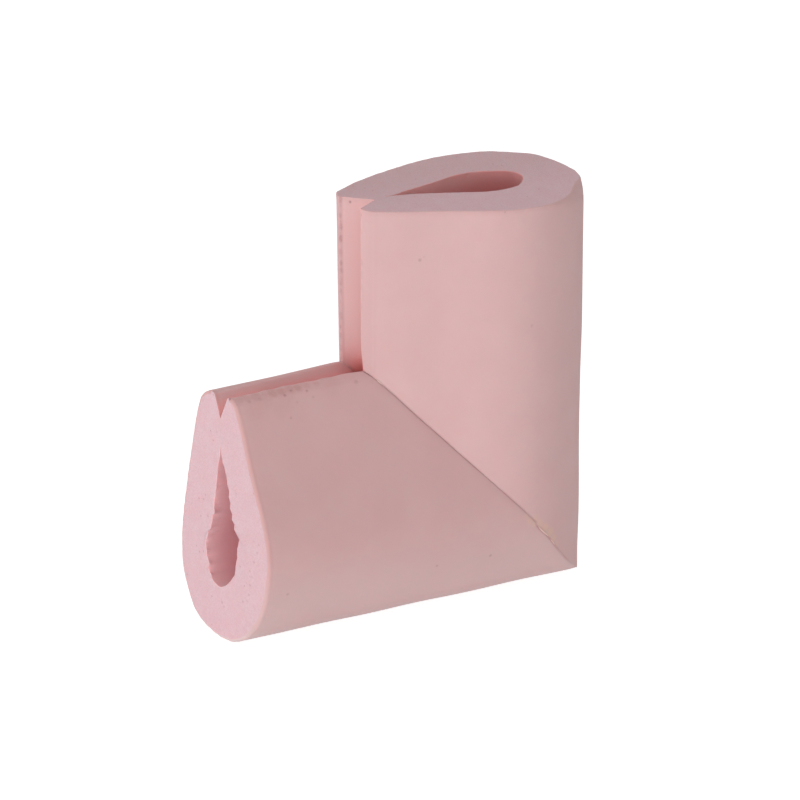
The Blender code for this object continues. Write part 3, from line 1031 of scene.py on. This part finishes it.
def add_bead(bm, first_depth, last_depth, radius, aside):
    """A thin bead of glue along the front of the seam, tapered to nothing at both ends."""
    depth = np.linspace(first_depth, last_depth, BEAD_STEPS + 1) * MM
    middle = seam_ring(depth, skin_at(CORNER_PLACE, FRONT, depth))
    middle += aside * MM * np.sqrt(0.5) * TOWARDS_UPRIGHT
    run = np.gradient(middle, axis=0)
    run /= np.linalg.norm(run, axis=1)[:, None]
    first = np.cross(run, TOWARDS_UPRIGHT)
    first /= np.linalg.norm(first, axis=1)[:, None]
    second = np.cross(run, first)
    size = radius * MM * np.sqrt(np.clip(1 - np.linspace(-1, 1, BEAD_STEPS + 1) ** 2, 0.01, 1))
    turn = np.arange(BEAD_SIDES) * 2 * math.pi / BEAD_SIDES
    rings = []
    for i in range(BEAD_STEPS + 1):
        round_it = np.cos(turn)[:, None] * first[i] + np.sin(turn)[:, None] * second[i]
        rings.append([bm.verts.new(point) for point in middle[i] + size[i] * round_it])
    for here, there in zip(rings, rings[1:]):
        for i in range(BEAD_SIDES):
            bm.faces.new((here[i - 1], here[i], there[i], there[i - 1]))
    bm.faces.new(rings[0])
    bm.faces.new(rings[-1])


def make_glue_layer():
    """A thin closed film between the arms, inset from the outline of the seam."""
    depth, across = section_loop(CORNER_PLACE)
    into_depth, into_across = inward(depth, across)
    ring = seam_ring(depth + into_depth * GLUE_INSET, across + into_across * GLUE_INSET)
    bm = bmesh.new()
    sides = []
    for sign in (1, -1):
        offset = sign * GLUE_HALF_THICKNESS * np.sqrt(0.5) * TOWARDS_UPRIGHT
        row = [bm.verts.new(point) for point in ring + offset]
        close_end(bm, row, sign > 0)
        sides.append(row)
    for i in range(len(depth)):
        bm.faces.new((sides[0][i - 1], sides[0][i], sides[1][i], sides[1][i - 1]))
    for bead in BEADS:
        add_bead(bm, *bead)
    bmesh.ops.recalc_face_normals(bm, faces=bm.faces)
    mesh = finished_mesh("glue_layer", bm)
    mesh.shade_smooth()
    return add_object("glue_layer", mesh)


def make_glue_material():
    recipe = Recipe("amber_glue")
    cloud = recipe.noise(1.5 * MM, 3.0)
    colour = recipe.tint(cloud, rgb(0.80, 0.53, 0.49), rgb(0.84, 0.57, 0.52))
    recipe.set(Base_Color=colour, Roughness=recipe.ramp(cloud, 0.3, 0.7, 0.35, 0.55))
    recipe.set(Normal=recipe.bump(cloud, 0.1 * MM, 0.5))
    return recipe.material


glue_layer = make_glue_layer()
glue_layer.data.materials.append(make_glue_material())
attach(glue_layer, "root")
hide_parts("glue_film")
print("glue layer", len(glue_layer.data.polygons), "faces")

# %% [markdown]
# The studio is a pale floor under a wide soft light, with a soft lamp on the left. A dark card
# stands to the right, out of the picture: foam is so matt that only a card like this lets its round
# edge fall off into shade. The camera sees pure white behind it all, and the floor keeps a shadow.

# %% Floor, world and lights
FLOOR_HALF = 6.0
FLOOR_GLOW = 0.22
FLOOR_CAMERA_LIFT = 0.66
FLOOR_CAMERA_GREY, FLOOR_GREY = 0.35, 0.9
SKY_HORIZON, SKY_ZENITH = 0.51, 0.70
SKY_LEFT = 0.15
CARD_DISTANCE, CARD_WIDTH, CARD_HEIGHT = 0.5, 0.7, 0.29
CARD_GREY = 0.05
STUDIO_MATT = 0.9


def add_floor():
    bm = bmesh.new()
    bmesh.ops.create_grid(bm, x_segments=1, y_segments=1, size=FLOOR_HALF)
    floor = add_object("studio_floor", finished_mesh("studio_floor", bm))
    floor.location.z = FLOOR_HEIGHT - LEVEL_NOSE_PUSH
    paint = Recipe("studio_floor")
    seen = paint.add("ShaderNodeLightPath", output="Is Camera Ray")
    greys = {"Value": seen, "To Min": FLOOR_GREY, "To Max": FLOOR_CAMERA_GREY}
    paint.set(Base_Color=paint.add("ShaderNodeMapRange", inputs=greys), Roughness=STUDIO_MATT)
    glow = {0: seen, 1: FLOOR_CAMERA_LIFT, 2: FLOOR_GLOW}
    strength = paint.add("ShaderNodeMath", inputs=glow, operation="MULTIPLY_ADD")
    lift = paint.add("ShaderNodeEmission", inputs={"Strength": strength})
    both = paint.add("ShaderNodeAddShader", inputs={0: paint.shader.outputs[0], 1: lift})
    paint.put(paint.nodes["Material Output"].inputs["Surface"], both)
    floor.data.materials.append(paint.material)


def add_world():
    world = bpy.data.worlds.new("soft_studio")
    bpy.context.scene.world = world
    world.use_nodes = True
    nodes = world.node_tree.nodes
    links = world.node_tree.links
    background = nodes["Background"]
    coordinates = nodes.new("ShaderNodeTexCoord")
    split = nodes.new("ShaderNodeSeparateXYZ")
    links.new(coordinates.outputs["Generated"], split.inputs[0])
    upward = nodes.new("ShaderNodeMapRange")
    upward.inputs["To Min"].default_value = SKY_HORIZON
    upward.inputs["To Max"].default_value = SKY_ZENITH
    links.new(split.outputs["Z"], upward.inputs["Value"])
    sideways = nodes.new("ShaderNodeMath")
    sideways.operation = "MULTIPLY_ADD"
    sideways.inputs[1].default_value = -SKY_LEFT
    links.new(split.outputs["X"], sideways.inputs[0])
    links.new(upward.outputs[0], sideways.inputs[2])
    links.new(sideways.outputs[0], background.inputs["Strength"])
    background.inputs["Color"].default_value = (1.0, 1.0, 1.0, 1.0)
    white = nodes.new("ShaderNodeBackground")
    white.inputs["Color"].default_value = (1.0, 1.0, 1.0, 1.0)
    path = nodes.new("ShaderNodeLightPath")
    mix = nodes.new("ShaderNodeMixShader")
    links.new(path.outputs["Is Camera Ray"], mix.inputs["Fac"])
    links.new(background.outputs[0], mix.inputs[1])
    links.new(white.outputs[0], mix.inputs[2])
    links.new(mix.outputs[0], nodes["World Output"].inputs["Surface"])


def add_softbox(name, toward, distance, size, power):
    """An area lamp that shines at the object from one direction."""
    data = bpy.data.lights.new(name, "AREA")
    data.shape = "DISK"
    data.size = size
    data.energy = power
    lamp = add_object(name, data)
    direction = Vector(toward).normalized()
    lamp.location = direction * distance
    lamp.rotation_euler = direction.to_track_quat("Z", "Y").to_euler()


def add_card():
    """A dark card to the right of the object, which gives its round edge a quiet shade."""
    low, high = FLOOR_HEIGHT - LEVEL_NOSE_PUSH, FLOOR_HEIGHT + CARD_HEIGHT
    half = CARD_WIDTH / 2
    corners = [(CARD_DISTANCE, -half, low), (CARD_DISTANCE, half, low)]
    corners += [(CARD_DISTANCE, half, high), (CARD_DISTANCE, -half, high)]
    mesh = bpy.data.meshes.new("studio_card")
    mesh.from_pydata(corners, [], [(0, 1, 2, 3)])
    paint = Recipe("studio_card")
    paint.set(Base_Color=rgb(CARD_GREY, CARD_GREY, CARD_GREY), Roughness=STUDIO_MATT)
    mesh.materials.append(paint.material)
    add_object("studio_card", mesh)


add_floor()
add_world()
add_card()
add_softbox("left_softbox", toward=(-1.0, -0.35, 0.04), distance=1.2, size=0.3, power=4.3)
bpy.context.scene.view_settings.view_transform = "Standard"
print("studio ready")
